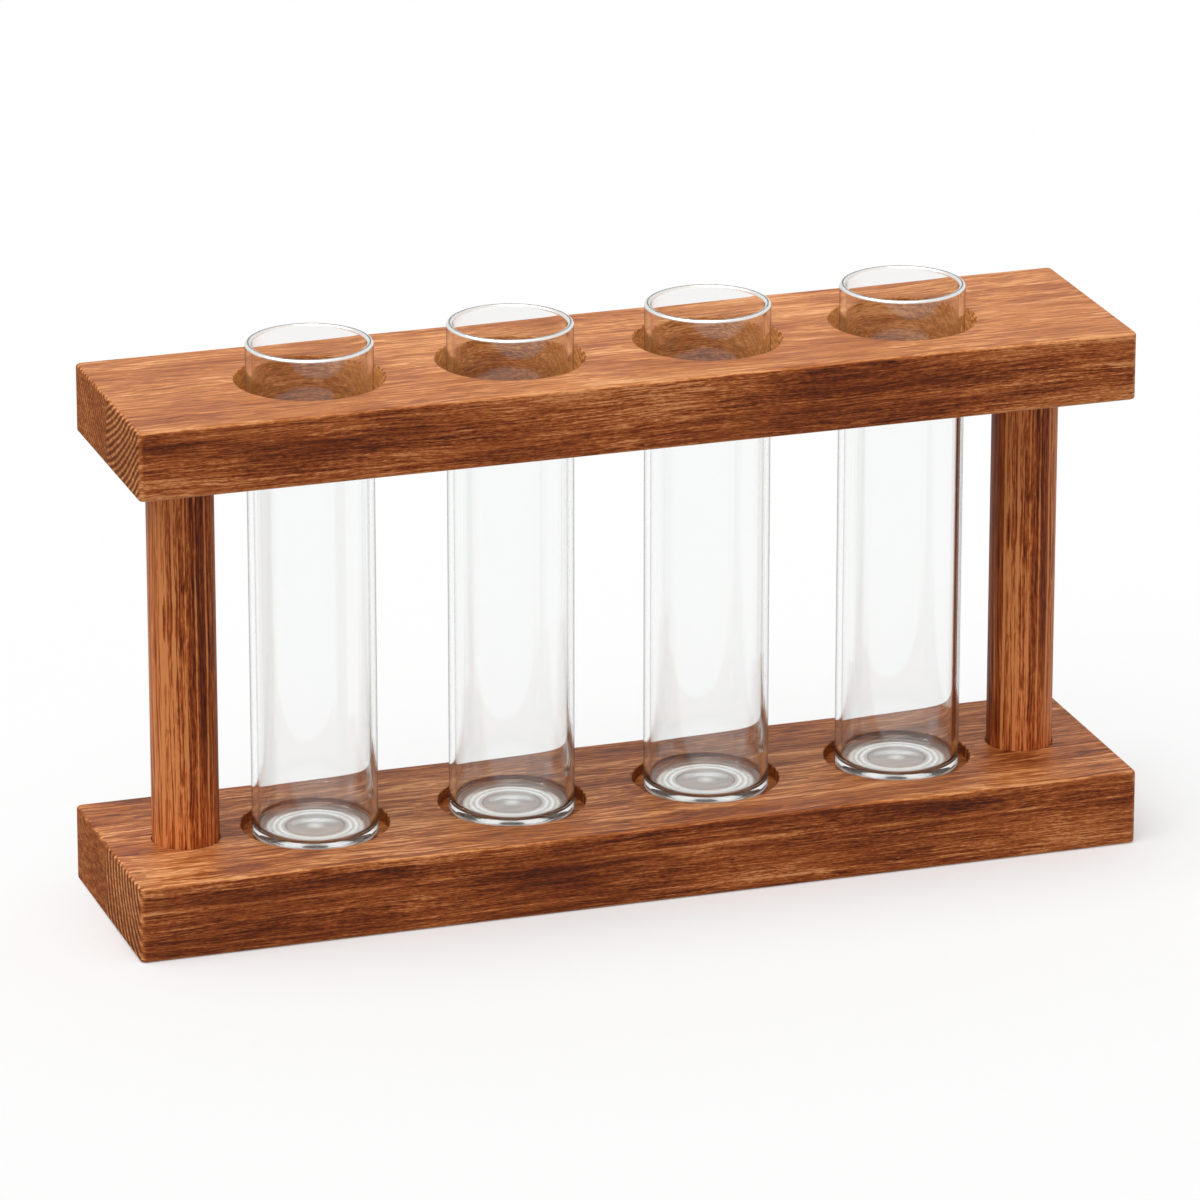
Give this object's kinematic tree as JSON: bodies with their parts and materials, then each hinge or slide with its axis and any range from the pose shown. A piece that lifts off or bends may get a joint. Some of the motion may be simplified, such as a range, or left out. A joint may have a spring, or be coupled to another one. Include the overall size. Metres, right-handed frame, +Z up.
{
  "type": "test tube vase",
  "caption": "Desk vase of clear flat-bottomed glass tubes that stand in a row, held by a wooden base board, a drilled top board and round posts.",
  "frame": {"origin": "middle of the base board's underside", "axes": "+X along the row of tubes, +Y towards the back, +Z up"},
  "size_m": [0.249, 0.0588, 0.1381],
  "materials": {
    "board_wood": "warm red-brown hardwood, stained and oiled to a satin sheen",
    "post_wood": "the same red-brown hardwood turned to a dowel, satin",
    "clear_glass": "clear colourless glass, fire-polished rim",
    "screw_steel": "zinc-plated steel"
  },
  "bodies": {
    "stand": {"base_board": "board_wood", "top_board": "board_wood", "left_post": "post_wood", "right_post": "post_wood", "base_screws": "screw_steel"},
    "tube_1": {"glass_tube_1": "clear_glass"},
    "tube_2": {"glass_tube_2": "clear_glass"},
    "tube_3": {"glass_tube_3": "clear_glass"},
    "tube_4": {"glass_tube_4": "clear_glass"}
  },
  "joints": [
    {"name": "tube_1_lift", "type": "slide", "parent": "stand", "child": "tube_1", "axis": [0, 0, 1], "range_m": [0, 0.13]},
    {"name": "tube_2_lift", "type": "slide", "parent": "stand", "child": "tube_2", "axis": [0, 0, 1], "range_m": [0, 0.13]},
    {"name": "tube_3_lift", "type": "slide", "parent": "stand", "child": "tube_3", "axis": [0, 0, 1], "range_m": [0, 0.13]},
    {"name": "tube_4_lift", "type": "slide", "parent": "stand", "child": "tube_4", "axis": [0, 0, 1], "range_m": [0, 0.13]}
  ]
}
